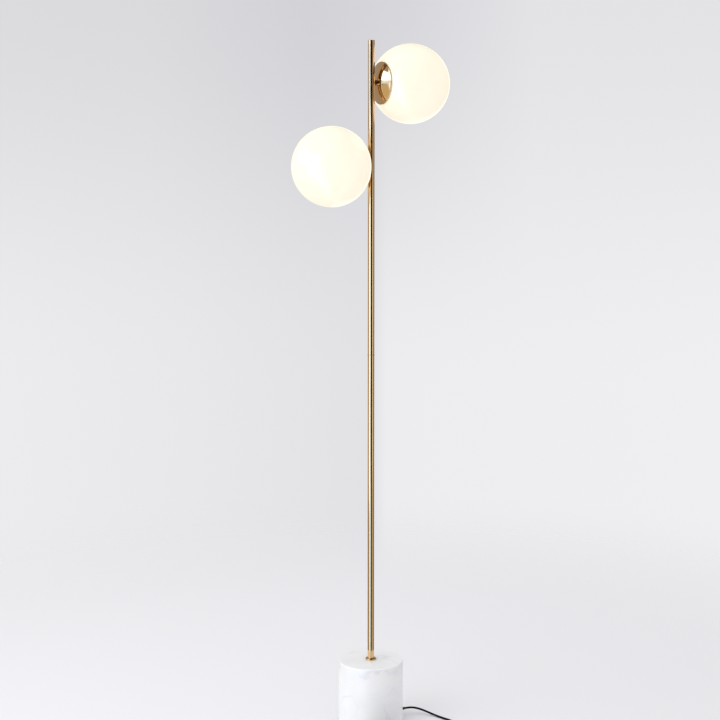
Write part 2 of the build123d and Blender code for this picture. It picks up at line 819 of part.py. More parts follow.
def make_switch_works():
    """The button, its spring, the contacts, the screws and the sleeves."""
    flange_top = switch_top - switch_wall - running
    flange_foot = flange_top - button_flange
    button_top = switch_top + button_proud
    spring_room = flange_foot + button_flange + button_proud
    with BuildPart() as switch_button:
        with BuildSketch(Plane.XY.offset(flange_foot)):
            with Locations((switch_x, switch_y)):
                Circle(button_diameter / 2)
        extrude(amount=button_top - flange_foot)
        fillet(switch_button.edges().group_by(Axis.Z)[-1], button_top_round)
        with BuildSketch(Plane.XY.offset(flange_foot)):
            with Locations((switch_x, switch_y)):
                Circle(button_flange_diameter / 2)
        extrude(amount=button_flange)
        with BuildSketch(Plane.XY.offset(flange_foot)):
            with Locations((switch_x, switch_y)):
                Circle(spring_diameter / 2 + running)
        extrude(amount=spring_room - flange_foot, mode=Mode.SUBTRACT)
    save(switch_button, "switch_button")

    with BuildPart() as switch_spring:
        with BuildSketch(Plane.XY.offset(switch_wall)):
            with Locations((switch_x, switch_y)):
                Circle(spring_diameter / 2)
                Circle(spring_diameter / 2 - spring_wire, mode=Mode.SUBTRACT)
        extrude(amount=spring_room - switch_wall - slip)
    save(switch_spring, "switch_spring")

    with BuildPart() as switch_contacts:
        with BuildSketch(Plane.XY.offset(switch_wall)):
            with Locations((switch_x, switch_y)):
                with GridLocations(contact_spread, 0, 2, 1):
                    Rectangle(contact_size, contact_size)
        extrude(amount=contact_height)
        chamfer(switch_contacts.edges().group_by(Axis.Z)[-1], contact_chamfer)
    save(switch_contacts, "switch_contacts")

    with BuildPart() as switch_screws:
        head_radius = screw_head_diameter / 2
        taper = (head_radius - screw_diameter / 2) / math.tan(math.radians(screw_cone_angle / 2))
        with Locations((switch_x, switch_y, 0)):
            with GridLocations(screw_spread_x, screw_spread_y, 2, 2):
                standing = (Align.CENTER, Align.CENTER, Align.MIN)
                Cone(head_radius, screw_diameter / 2, taper, align=standing)
                Cylinder(screw_diameter / 2, screw_length, align=standing)
    save(switch_screws, "switch_screws")

    # A collar sits against a shell's rounded end, where that end is as wide as the collar.
    end_radius = switch_width / 2 - switch_wall
    collar_edge = relief_collar_diameter / 2
    sleeve_seat = (switch_length - switch_width) / 2 + math.sqrt(end_radius**2 - collar_edge**2)
    with BuildPart() as switch_sleeves:
        for side in (-1, 1):
            origin = (switch_x, switch_y, switch_parting)
            plane = Plane(origin=origin, x_dir=(side, 0, 0), z_dir=(0, -side, 0))
            inside = sleeve_seat - slip
            outside = switch_length / 2
            with BuildSketch(plane):
                with BuildLine():
                    Polyline(
                        (inside - relief_collar, 0),
                        (inside - relief_collar, collar_edge),
                        (inside, collar_edge),
                        (inside, relief_diameter / 2),
                        (outside, relief_diameter / 2),
                        (outside + relief_tail, cord_tip_radius),
                        (outside + relief_tail, 0),
                        (inside - relief_collar, 0),
                    )
                make_face()
            revolve(axis=Axis(origin, (1, 0, 0)))
    save(switch_sleeves, "switch_sleeves")


# ---- Plug ---------------------------------------------------------------------------------------


def make_plug():
    """A flat two-pin plug, lying on its side beside the coil, with its pins towards +X."""
    start_x, start_y, middle = end_route[-1]
    back = start_x + plug_relief_length
    front = back + plug_length
    with BuildPart() as plug_body:
        with BuildSketch():
            with BuildLine():
                Polyline(
                    (back, start_y - plug_back_width / 2),
                    (back + plug_shoulder, start_y - plug_width / 2),
                    (front, start_y - plug_width / 2),
                    (front, start_y + plug_width / 2),
                    (back + plug_shoulder, start_y + plug_width / 2),
                    (back, start_y + plug_back_width / 2),
                    (back, start_y - plug_back_width / 2),
                )
            make_face()
        extrude(amount=plug_thickness)
        fillet(plug_body.edges().filter_by(Axis.Z), plug_edge_round)
        rims = plug_body.edges().group_by(Axis.Z)
        fillet(rims[0] + rims[-1], plug_edge_round / 2)
        with BuildSketch(Plane(origin=(start_x, start_y, middle), x_dir=(1, 0, 0), z_dir=(0, -1, 0))):
            with BuildLine():
                Polyline(
                    (0, 0),
                    (0, cord_tip_radius),
                    (plug_relief_length, plug_relief_diameter / 2),
                    (plug_relief_length + plug_edge_round, plug_relief_diameter / 2),
                    (plug_relief_length + plug_edge_round, 0),
                    (0, 0),
                )
            make_face()
        revolve(axis=Axis((start_x, start_y, middle), (1, 0, 0)))
        with BuildSketch(Plane.YZ.offset(front)):
            with Locations((start_y - pin_spacing / 2, middle), (start_y + pin_spacing / 2, middle)):
                Circle(pin_neck_diameter / 2 + slip / 2)
        extrude(amount=-plug_shoulder, mode=Mode.SUBTRACT)
    save(plug_body, "plug_body")

    with BuildPart() as plug_pins:
        with BuildSketch(Plane.YZ.offset(front - plug_shoulder)):
            with Locations((start_y - pin_spacing / 2, middle), (start_y + pin_spacing / 2, middle)):
                Circle(pin_neck_diameter / 2)
        extrude(amount=plug_shoulder + pin_sleeve)
        with BuildSketch(Plane.YZ.offset(front + pin_sleeve)):
            with Locations((start_y - pin_spacing / 2, middle), (start_y + pin_spacing / 2, middle)):
                Circle(pin_diameter / 2)
        extrude(amount=pin_length - pin_sleeve)
        fillet(plug_pins.edges().group_by(Axis.X)[-1], (pin_diameter - pin_tip_flat) / 2)
    save(plug_pins, "plug_pins")

    with BuildPart() as plug_pin_sleeves:
        with BuildSketch(Plane.YZ.offset(front)):
            with Locations((start_y - pin_spacing / 2, middle), (start_y + pin_spacing / 2, middle)):
                Circle(pin_diameter / 2)
                Circle(pin_neck_diameter / 2 + slip / 2, mode=Mode.SUBTRACT)
        extrude(amount=pin_sleeve)
    save(plug_pin_sleeves, "plug_pin_sleeves")


# ---- The whole lamp -----------------------------------------------------------------------------

os.makedirs("parts", exist_ok=True)
make_block()
make_block_fixings()
make_pole()
for head_name, head_side, head_height in (("upper", 1, upper_arm_height), ("lower", -1, lower_arm_height)):
    make_arm(head_name, head_side, head_height)
    make_globe(head_name, head_side, head_height)
    make_holder(head_name, head_side, head_height)
make_wiring()
make_bushing()
make_cord("cord_run", run_route, cord_diameter)
make_cord("cord_tail", tail_route, cord_diameter)
make_coil()
make_cord("cord_end", end_route, cord_diameter)
make_ties()
make_switch_shells()
make_switch_works()
make_plug()
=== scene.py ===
"""The looks of the globe floor lamp: two opal globes on a satin brass pole over a marble block.

Metres, Z up, with the origin on the floor under the pole. The photograph's camera stands on the
-Y side, some way round towards -X, so that the upper globe hangs behind the pole on the right and
the lower one in front of it on the left.
"""

import json
import math

import bpy
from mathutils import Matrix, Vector


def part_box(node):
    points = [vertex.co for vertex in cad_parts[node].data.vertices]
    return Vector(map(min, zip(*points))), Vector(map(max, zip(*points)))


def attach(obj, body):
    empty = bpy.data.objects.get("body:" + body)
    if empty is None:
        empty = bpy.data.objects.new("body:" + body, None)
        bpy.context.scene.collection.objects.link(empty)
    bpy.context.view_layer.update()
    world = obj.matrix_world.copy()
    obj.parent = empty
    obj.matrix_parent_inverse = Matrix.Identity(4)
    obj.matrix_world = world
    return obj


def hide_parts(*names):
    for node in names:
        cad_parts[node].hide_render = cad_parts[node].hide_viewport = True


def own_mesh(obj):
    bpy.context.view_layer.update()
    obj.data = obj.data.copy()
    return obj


MM = 0.001
quarter_turn = math.radians(90)

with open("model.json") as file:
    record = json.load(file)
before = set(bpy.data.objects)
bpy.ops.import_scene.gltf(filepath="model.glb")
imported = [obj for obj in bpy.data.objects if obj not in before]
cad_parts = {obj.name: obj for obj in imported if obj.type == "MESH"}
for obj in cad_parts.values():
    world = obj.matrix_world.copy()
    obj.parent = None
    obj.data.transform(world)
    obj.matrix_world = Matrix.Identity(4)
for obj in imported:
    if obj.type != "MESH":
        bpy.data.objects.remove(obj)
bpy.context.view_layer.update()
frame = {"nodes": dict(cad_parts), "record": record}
nodes = frame["nodes"]


# ---- Colours and nodes ---------------------------------------------------------------------------
# A Mix node's factor is socket 0, its numbers are 2 and 3, and its colours 6 and 7. Its result is
# output 0 for numbers and output 2 for colours.


def colour(code):
    """A colour written as sRGB hex, in the linear values that a shader takes."""
    channels = [int(code[place : place + 2], 16) / 255 for place in (1, 3, 5)]
    linear = [c / 12.92 if c <= 0.04045 else ((c + 0.055) / 1.055) ** 2.4 for c in channels]
    return (*linear, 1.0)


def add_node(tree, kind, settings=None, values=None, links=None):
    """A node of one kind, with its settings, its sockets' values and what feeds its sockets."""
    node = tree.nodes.new(kind)
    for name, value in (settings or {}).items():
        setattr(node, name, value)
    for socket, value in (values or {}).items():
        node.inputs[socket].default_value = value
    for socket, source in (links or {}).items():
        tree.links.new(source, node.inputs[socket])
    return node


def new_material(name, values):
    """A material with one Principled shader that has these values. Gives its tree and shader."""
    material = bpy.data.materials.new(name)
    material.use_nodes = True
    tree = material.node_tree
    shader = tree.nodes["Principled BSDF"]
    for socket, value in values.items():
        shader.inputs[socket].default_value = value
    return material, tree, shader


# ---- Camera --------------------------------------------------------------------------------------

camera_turn = math.radians(28.0)  # how far the photograph looks round from straight along +Y
camera_aim = math.radians(0.423)  # the pole stands this far right of the picture's middle
camera_dip = math.radians(7.67)
camera_distance = 3.6417
camera_height = 1.4029
camera_sight = 100.0  # how far the camera sees
camera_lens = 75.72  # in millimetres, like the width of its picture
camera_picture = 36.0


def seen_from_camera(right, away, up):
    """A point given as the camera sees it from the pole: metres to the right, away and up."""
    x = right * math.cos(camera_turn) + away * math.sin(camera_turn)
    y = -right * math.sin(camera_turn) + away * math.cos(camera_turn)
    return Vector((x, y, up))


def around(angle, distance, height):
    """A point round the pole: degrees to the left of the camera's own side, metres out and up."""
    turn = math.radians(angle)
    return seen_from_camera(-distance * math.sin(turn), -distance * math.cos(turn), height)


def angle_round(point):
    """How many degrees to the left of the camera's own side a point lies, seen from above."""
    right = point.x * math.cos(camera_turn) - point.y * math.sin(camera_turn)
    away = point.x * math.sin(camera_turn) + point.y * math.cos(camera_turn)
    return math.degrees(math.atan2(-right, -away))


def make_camera():
    """The photograph's camera: eye height, a short telephoto lens, tipped a little down."""
    bpy.ops.object.camera_add(
        location=seen_from_camera(0, -camera_distance, camera_height),
        rotation=(quarter_turn - camera_dip, 0, camera_aim - camera_turn),
    )
    camera = bpy.context.object
    camera.name = "camera"
    camera.data.lens = camera_lens
    camera.data.sensor_width = camera_picture
    camera.data.clip_end = camera_sight
    bpy.context.scene.camera = camera


make_camera()

# ---- Mains lead ----------------------------------------------------------------------------------

cord_diameter = 5.0 * MM

# Where the lead lies, point by point in millimetres: from the block to the foot switch, from the
# switch to the coil, and from the coil to the plug.
run_route = [
    (98, 0, 16), (113, 0, 16), (127, -6.5, 14), (140, -17, 10), (149.5, -31.5, 6.3),
    (158, -48, 3.4), (165, -68, 2.5), (173, -89, 2.5), (178.5, -112, 2.5), (177.5, -137, 2.5),
    (168.5, -160, 2.5), (153, -178, 3), (134, -190.5, 5.4), (117, -195.5, 8), (103, -195.5, 8),
]
tail_route = [
    (-3, -195.5, 8), (-14, -195.5, 8), (-26, -195.9, 6), (-37, -195.5, 3.9), (-48, -195.5, 3.9),
]
end_route = [
    (-48, -111, 9.4), (-36, -111, 9.4), (-24, -114, 8.6), (-12, -119.5, 7.4), (0, -124, 7),
    (12, -124, 7),
]

# The coil, in millimetres.
coil_centre = (-48.0, -156.0)
coil_outer_radius = 39.5
coil_spacing = 5.5
coil_height = 3.9
coil_half_turns = 7  # in each of the two layers
coil_steps = 6  # points in a half turn


def coil_route():
    """The coil's turns, in millimetres: in to the middle, up half a turn and out again on top."""
    places = [coil_outer_radius]
    for half_turn in range(2 * coil_half_turns + 1):
        if half_turn % 2:
            places.append(-places[-1] - coil_spacing)
        elif half_turn < coil_half_turns:
            places.append(-places[-1])
        else:
            places.append(-places[-1] - 2 * coil_spacing)
    points = []
    # The line runs a little inside its points, by the weights of a NURBS line of order 3.
    pull = 0.75 + 0.25 * math.cos(math.pi / coil_steps)
    for half_turn, (start, end) in enumerate(zip(places, places[1:])):
        middle = coil_centre[1] - (start + end) / 2
        radius = (start - end) / 2 / pull
        side = 1 if half_turn % 2 else -1
        for step in range(coil_steps):
            turn = math.pi * (step + 0.5) / coil_steps
            climbed = min(max(half_turn - coil_half_turns + turn / math.pi, 0), 1)
            points.append(
                (
                    coil_centre[0] + side * abs(radius) * math.sin(turn),
                    middle - radius * math.cos(turn),
                    coil_height + coil_spacing * climbed,
                )
            )
    return points


def lay_cord(name, points):
    """A stretch of the lead as one smooth line through its points, in millimetres."""
    curve = bpy.data.curves.new(name, "CURVE")
    curve.dimensions = "3D"
    spline = curve.splines.new("NURBS")
    spline.points.add(len(points) - 1)
    for spline_point, place in zip(spline.points, points):
        spline_point.co = (*(MM * value for value in place), 1)
        spline_point.radius = cord_diameter / 2
    spline.order_u = 3
    spline.use_endpoint_u = True
    spline.resolution_u = 6
    curve.bevel_depth = 1.0  # times each point's own radius
    curve.bevel_resolution = 5
    curve.use_fill_caps = True
    cord = bpy.data.objects.new(name, curve)
    bpy.context.scene.collection.objects.link(cord)
    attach(cord, "root")
    return cord


cord_to_switch = lay_cord("cord_to_switch", run_route)
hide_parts("cord_run")
cord_to_plug = lay_cord("cord_to_plug", tail_route + coil_route() + end_route)
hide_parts("cord_tail", "cord_coil", "cord_end")


# ---- Modelled pieces -----------------------------------------------------------------------------

merge_distance = 0.01 * MM
corner_steps = 3  # in a quarter turn


def middle_of(low, high):
    """The middle of a box that is given by its two corners."""
    return tuple((start + end) / 2 for start, end in zip(low, high))


def deselect_all():
    bpy.ops.object.select_all(action="DESELECT")


def select_only(*pieces):
    """Select these pieces and no others, with the first one active."""
    deselect_all()
    for piece in pieces:
        piece.select_set(True)
    bpy.context.view_layer.objects.active = pieces[0]


def edit_all():
    """Go into edit mode with the whole mesh selected."""
    bpy.ops.object.mode_set(mode="EDIT")
    bpy.ops.mesh.select_all(action="SELECT")


def close_piece(name, body, smooth_angle=35.0):
    """Leave edit mode with the faces pointing out, and hand the piece to its body."""
    bpy.ops.mesh.select_all(action="SELECT")
    bpy.ops.mesh.remove_doubles(threshold=merge_distance)
    bpy.ops.mesh.normals_make_consistent(inside=False)
    bpy.ops.object.mode_set(mode="OBJECT")
    piece = bpy.context.object
    piece.name = name
    piece.data.name = name
    select_only(piece)
    bpy.ops.object.transform_apply(location=True, rotation=True, scale=True)
    bpy.ops.object.shade_smooth_by_angle(angle=math.radians(smooth_angle))
    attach(piece, body)
    return piece


def finish_with(piece, kind, settings):
    """Add a modifier with these settings and apply it."""
    select_only(piece)
    modifier = piece.modifiers.new(kind.title(), kind)
    for name, value in settings.items():
        setattr(modifier, name, value)
    bpy.ops.object.modifier_apply(modifier=modifier.name)


def join_pieces(name, pieces):
    """Several finished pieces as one object."""
    select_only(*pieces)
    bpy.ops.object.join()
    joined = bpy.context.object
    joined.name = name
    joined.data.name = name
    return joined


def draw_rings(rings, centre_y, centre_z, facets, fill_type):
    """Draw a round mesh out along X, ring by ring. Each ring is a place along X and a radius."""
    deselect_all()
    bpy.ops.mesh.primitive_circle_add(
        vertices=facets,
        radius=rings[0][1],
        fill_type=fill_type,
        location=(rings[0][0], centre_y, centre_z),
        rotation=(0, quarter_turn, 0),
    )
    edit_all()
    for (x, radius), (next_x, next_radius) in zip(rings, rings[1:]):
        bpy.ops.mesh.extrude_region_move(TRANSFORM_OT_translate={"value": (next_x - x, 0, 0)})
        share = next_radius / radius
        bpy.ops.transform.resize(
            value=(1, share, share), center_override=(next_x, centre_y, centre_z)
        )


# Strain reliefs, in millimetres.
relief_facets = 40
rib_pitch = 3.0
groove_width = 1.1
groove_depth = 0.7
groove_slope = 0.25  # length of each of its sides
plain_end = 2.0
tip_radius = 3.1
tip_rounding = (0.4, 0.3)  # along and inwards
collar_step = 0.05  # along, where a collar drops to its neck
bushing_collar_end = 3.0
bushing_tail_length = 18.0
switch_collar = (32.36, 34.86)  # from the switch's middle
switch_tail_length = 15.0


def ribbed_tail(start, end, radius):
    """The steps of a tapered tail with grooves cut round it, so that it bends with the cord."""
    steps = [(start, radius)]
    for rib in range(int((end - start - plain_end) / rib_pitch)):
        groove_end = start + rib_pitch * (rib + 1)
        groove_start = groove_end - groove_width
        for place, depth in (
            (groove_start, 0.0),
            (groove_start + groove_slope, groove_depth),
            (groove_end - groove_slope, groove_depth),
            (groove_end, 0.0),
        ):
            taper = radius + (tip_radius - radius) * (place - start) / (end - start)
            steps.append((place, taper - depth))
    steps.append((end - tip_rounding[0], tip_radius))
    steps.append((end, tip_radius - tip_rounding[1]))
    return steps


def make_relief(name, start, heading, collar, rounding, neck_radius, tail):
    """A strain relief along X: a collar with rounded edges, a smooth neck and a ribbed tail.

    The start is in metres. The collar (its start, end and radius), its rounding, the neck's radius
    and the tail (its start and end) are in millimetres.
    """
    collar_start, collar_end, collar_radius = collar
    profile = [
        (collar_start, collar_radius - rounding),
        (collar_start + rounding, collar_radius),
        (collar_end - rounding, collar_radius),
        (collar_end, collar_radius - rounding),
        (collar_end + collar_step, neck_radius),
        *ribbed_tail(*tail, neck_radius),
    ]
    rings = [
        (start[0] + heading * (place - collar_start) * MM, radius * MM)
        for place, radius in profile
    ]
    draw_rings(rings, start[1], start[2], relief_facets, "NGON")
    return close_piece(name, "root")


def make_block_bushing():
    """The bushing in the block's side, with its collar inside the block."""
    low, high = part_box("cord_bushing")
    centre = middle_of(low, high)
    length = (high[0] - low[0]) / MM
    bushing = make_relief(
        "block_bushing",
        start=(low[0], *centre[1:]),
        heading=1,
        collar=(0.0, bushing_collar_end, (high[2] - low[2]) / 2 / MM),
        rounding=0.3,
        neck_radius=4.0,
        tail=(length - bushing_tail_length, length),
    )
    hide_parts("cord_bushing")
    return bushing


def make_switch_reliefs():
    """The two sleeves where the cord enters the foot switch, with their collars inside it."""
    low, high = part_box("switch_sleeves")
    centre = middle_of(low, high)
    length = (high[0] - centre[0]) / MM
    reliefs = []
    for side, name in ((-1, "switch_relief_out"), (1, "switch_relief_in")):
        relief_piece = make_relief(
            name,
            start=(centre[0] + side * switch_collar[0] * MM, *centre[1:]),
            heading=side,
            collar=(*switch_collar, (high[2] - low[2]) / 2 / MM),
            rounding=0.2,
            neck_radius=4.2,
            tail=(length - switch_tail_length, length),
        )
        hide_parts("switch_sleeves")
        reliefs.append(relief_piece)
    return reliefs


strap_width = 8.0 * MM
strap_thickness = 0.8 * MM
strap_corner = 1.8 * MM
strap_start = 4.0 * MM  # from the near side of the bundle
strap_overlap = 15.0 * MM
strap_gap = 0.1 * MM  # between the strap's end and its start
strap_climb = 3.0 * MM  # the length over which the end climbs over the start
strap_run = 25.2 * MM  # across one strap, outside
strap_edge = {"width": 0.2 * MM, "segments": 2, "limit_method": "ANGLE", "angle_limit": 1.0}
tie_wall = 0.9 * MM


def strap_path(left, right, low, high, outward):
    """The strap's line round the bundle, as X and Z: over its own start again at the top."""
    near, far = (left, right) if outward > 0 else (right, left)
    start = near + outward * strap_start
    points = [(start, high)]
    corners = [(far, high), (far, low), (near, low), (near, high)]
    inward = [(-outward, -1), (-outward, 1), (outward, 1), (outward, -1)]
    for number, ((x, z), (turn_x, turn_z)) in enumerate(zip(corners, inward)):
        for step in range(corner_steps + 1):
            angle = quarter_turn * step / corner_steps
            along, across = math.cos(angle), math.sin(angle)
            if number % 2:
                along, across = across, along
            shift_x = turn_x * strap_corner * (1 - across)
            shift_z = turn_z * strap_corner * (1 - along)
            points.append((x + shift_x, z + shift_z))
    over = high + strap_thickness + strap_gap
    points.append((start - outward * strap_climb / 2, high))
    points.append((start + outward * strap_climb / 2, over))
    points.append((start + outward * strap_overlap / 2, over))
    points.append((start + outward * strap_overlap, over))
    return points


def make_strap(name, left, right, low, high, middle_y, outward):
    """A hook-and-loop strap drawn out edge by edge round the coil, then given its thickness."""
    path = strap_path(left, right, low, high, outward)
    x, z = path[0]
    deselect_all()
    bpy.ops.mesh.primitive_plane_add(size=strap_width, location=(x, middle_y, z))
    edit_all()
    # The plane closes up to one edge across the strap, and this edge is drawn along the path.
    bpy.ops.transform.resize(value=(0, 1, 1), center_override=(x, middle_y, z))
    bpy.ops.mesh.remove_doubles(threshold=merge_distance)
    bpy.ops.mesh.select_all(action="SELECT")
    for (x, z), (next_x, next_z) in zip(path, path[1:]):
        bpy.ops.mesh.extrude_region_move(
            TRANSFORM_OT_translate={"value": (next_x - x, 0, next_z - z)}
        )
    strap = close_piece(name, "root", smooth_angle=50.0)
    finish_with(strap, "SOLIDIFY", {"thickness": strap_thickness, "offset": 0.0})
    finish_with(strap, "BEVEL", strap_edge)
    return strap


def make_coil_straps():
    """The two straps that hold the coil, each with its end lying over its start."""
    low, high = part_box("cord_ties")
    half_wall = tie_wall / 2
    middle_y = (low[1] + high[1]) / 2
    foot, top = low[2] + half_wall, high[2] - half_wall
    sides = (
        ("strap_left", low[0] + half_wall, low[0] + strap_run - half_wall, -1),
        ("strap_right", high[0] - strap_run + half_wall, high[0] - half_wall, 1),
    )
    straps = [
        make_strap(name, left, right, foot, top, middle_y, outward)
        for name, left, right, outward in sides
    ]
    joined = join_pieces("coil_straps", straps)
    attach(joined, "root")
    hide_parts("cord_ties")
    return joined


def make_bars(name, size, places, body, round_by):
    """A small rounded bar, modelled once and copied to each place."""
    deselect_all()
    bpy.ops.mesh.primitive_cube_add(size=1, location=places[0], scale=size)
    edit_all()
    bar = close_piece(name, body)
    finish_with(bar, "BEVEL", {"width": round_by, "segments": 3, "limit_method": "ANGLE"})
    bars = [bar]
    for place in places[1:]:
        copy = bar.copy()
        copy.data = bar.data.copy()
        bpy.context.scene.collection.objects.link(copy)
        select_only(copy)
        bpy.ops.transform.translate(value=Vector(place) - Vector(places[0]))
        bpy.ops.object.transform_apply(location=True, rotation=False, scale=False)
        bars.append(copy)
    joined = join_pieces(name, bars)
    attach(joined, body)
    return joined


grip_count = 5  # on each side
grip_size = (1.4 * MM, 1.3 * MM, 8.0 * MM)
grip_rounding = 0.5 * MM
grip_spacing = 3.2 * MM
first_grip = 5.0 * MM  # from the plug's face


def make_plug_grips():
    """Finger ribs on the plug's two narrow sides."""
    low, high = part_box("plug_body")
    middle_z = (low[2] + high[2]) / 2
    places = [
        (high[0] - first_grip - grip_spacing * grip, side_y, middle_z)
        for side_y in (low[1], high[1])
        for grip in range(grip_count)
    ]
    return make_bars("plug_grips", grip_size, places, "root", grip_rounding)


button_ring_radius = 6.5 * MM
button_ring_width = 1.8 * MM
button_ring_flatness = 0.7  # its height as a share of its width


def make_button_ring():
    """The raised ring round the top of the foot switch's button, which a foot can feel."""
    low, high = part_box("switch_button")
    centre = (*middle_of(low, high)[:2], high[2])
    deselect_all()
    bpy.ops.mesh.primitive_torus_add(
        location=centre,
        major_segments=64,
        minor_segments=12,
        major_radius=button_ring_radius,
        minor_radius=button_ring_width / 2,
    )
    edit_all()
    bpy.ops.transform.resize(value=(1, 1, button_ring_flatness), center_override=centre)
    return close_piece("button_ring", "switch_button", smooth_angle=60.0)


spring_wire = 1.2 * MM
spring_turns = 7
spring_wire_facets = 10
spring_turn_facets = 24


def make_press_spring():
    """The coil spring under the foot switch's button, which on the real switch shortens as the
    button goes down; here it keeps one height.
    """
    low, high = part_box("switch_spring")
    foot = (*middle_of(low, high)[:2], low[2])
    height = high[2] - low[2]
    deselect_all()
    bpy.ops.mesh.primitive_circle_add(
        vertices=spring_wire_facets,
        radius=spring_wire / 2,
        location=(foot[0], foot[1], low[2] + spring_wire / 2),
        rotation=(quarter_turn, 0, 0),
    )
    bpy.ops.object.transform_apply(location=False, rotation=True, scale=False)
    edit_all()
    bpy.ops.transform.translate(value=((high[0] - low[0] - spring_wire) / 2, 0, 0))
    bpy.ops.object.mode_set(mode="OBJECT")
    screw = {
        "axis": "Z",
        "iterations": spring_turns,
        "screw_offset": (height - spring_wire) / spring_turns,
        "steps": spring_turn_facets,
        "render_steps": spring_turn_facets,
    }
    finish_with(bpy.context.object, "SCREW", screw)
    edit_all()
    bpy.ops.mesh.fill_holes(sides=spring_wire_facets)
    spring = close_piece("press_spring", "root", smooth_angle=60.0)
    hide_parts("switch_spring")
    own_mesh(spring)
    return spring


dish_facets = 128
dish_depth = 13.0 * MM  # of the dome, without its lip
dish_front_depth = 5.4 * MM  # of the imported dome, whose inner face stays
dish_wall = 1.2 * MM
dish_lip = 1.6 * MM
dish_shoulder = 1.0 * MM
dish_edge = 0.2 * MM
dish_hole_radius = 5.1 * MM
dish_back_steps = 24
dish_front_steps = 12


def sphere_radius(edge_radius, depth):
    """The radius of the sphere that a dome of this width and depth is cut from."""
    return (edge_radius**2 + depth**2) / (2 * depth)


def dome_rings(apex, side, sphere, edge_radius, steps):
    """Rings along a dome, from its hole out to its edge: the place along X, and the radius."""
    rings = []
    for step in range(steps + 1):
        out = dish_hole_radius + (edge_radius - dish_hole_radius) * step / steps
        rings.append((apex + side * (sphere - math.sqrt(sphere**2 - out**2)), out))
    return rings


def make_dish(head, side):
    """A spun brass dish: a dome round the stem's end, a rounded shoulder and a short straight lip.

    The photograph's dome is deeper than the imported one. Its inner face and its lip stay where the
    locknut, the gallery ring and the gasket seat, and only its back bulges further to the pole.
    """
    low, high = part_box(f"{head}_dish")
    arm_height = (low[2] + high[2]) / 2
    radius = (high[2] - low[2]) / 2
    packed_apex, rim = (low[0], high[0]) if side > 0 else (high[0], low[0])
    back_apex = rim - side * (dish_lip + dish_depth)
    back_sphere = sphere_radius(radius, dish_depth)
    front_apex = packed_apex + side * dish_wall
    front_sphere = sphere_radius(radius, dish_front_depth) - dish_wall
    rings = dome_rings(back_apex, side, back_sphere, radius - dish_shoulder, dish_back_steps)
    corner = rings[-1][0]
    for step in range(1, corner_steps + 1):
        turn = quarter_turn * step / corner_steps
        along = corner + side * dish_shoulder * (1 - math.cos(turn))
        rings.append((along, radius - dish_shoulder * (1 - math.sin(turn))))
    rings += [(rim - side * dish_edge, radius), (rim, radius - dish_edge)]
    front = dome_rings(front_apex, side, front_sphere, radius - dish_wall, dish_front_steps)
    rings += [(rim, radius - dish_wall), *reversed(front)]
    draw_rings(rings, 0, arm_height, dish_facets, "NOTHING")
    # The wall closes at the hole, between the first ring and the last.
    bpy.ops.mesh.select_all(action="DESELECT")
    bpy.ops.mesh.select_non_manifold()
    bpy.ops.mesh.bridge_edge_loops()
    dish = close_piece(f"{head}_spun_dish", "root")
    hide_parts(f"{head}_dish")
    return dish


block_bushing = make_block_bushing()
dishes = {head: make_dish(head, side) for head, side in (("upper", 1), ("lower", -1))}
relief_out, relief_in = make_switch_reliefs()
coil_straps = make_coil_straps()
plug_grips = make_plug_grips()
button_ring = make_button_ring()
press_spring = make_press_spring()

# ---- Stage: floor, backdrop, lamps and cards -----------------------------------------------------

floor_radius = 4.0
floor_facets = 96
floor_drop = 0.2 * MM  # below the object's foot
floor_fade = (0.9, 2.6)  # metres from the pole
fill_light = 0.88
wall_half_width = 0.24  # of the wall that the picture shows, as the sine of its angle
wall_rise = (-0.15, 0.12)  # between the lower shades and the upper ones, as a sine too
ceiling_rise = (0.25, 0.4)
card_facets = 180  # all the way round the pole
floor_card_height = 0.1 * MM
floor_card_slope = 0.01 * MM  # a cone so low is flat


def make_floor():
    """A pale floor that fades into the background some way from the lamp."""
    deselect_all()
    bpy.ops.mesh.primitive_circle_add(
        vertices=floor_facets, radius=floor_radius, fill_type="NGON", location=(0, 0, -floor_drop)
    )
    floor = bpy.context.object
    floor.name = "floor"
    material, tree, shader = new_material(
        "painted_studio_floor",
        {"Base Color": colour("#EAEAEC"), "Roughness": 0.9, "Specular IOR Level": 0.1},
    )
    place = add_node(tree, "ShaderNodeTexCoord")
    reach = add_node(
        tree,
        "ShaderNodeVectorMath",
        {"operation": "LENGTH"},
        links={0: place.outputs["Object"]},
    )
    fade = add_node(
        tree,
        "ShaderNodeMapRange",
        {"interpolation_type": "SMOOTHSTEP"},
        {"From Min": floor_fade[0], "From Max": floor_fade[1], "To Min": 1.0, "To Max": 0.0},
        {"Value": reach.outputs["Value"]},
    )
    tree.links.new(fade.outputs["Result"], shader.inputs["Alpha"])
    floor.data.materials.append(material)


# Painted shade of the wall from left to right: level with the floor's far edge, and at the top.
level_painted_shade = (
    (0.0, "#ECECEE"),
    (0.25, "#E8E8EA"),
    (0.5, "#E2E2E5"),
    (0.52, "#EDEDEF"),
    (1.0, "#EFEFF1"),
)
top_painted_shade = (
    (0.0, "#DBDBDE"),
    (0.2, "#DADADD"),
    (0.42, "#D2D2D6"),
    (0.55, "#D7D7DB"),
    (0.72, "#E3E3E6"),
)


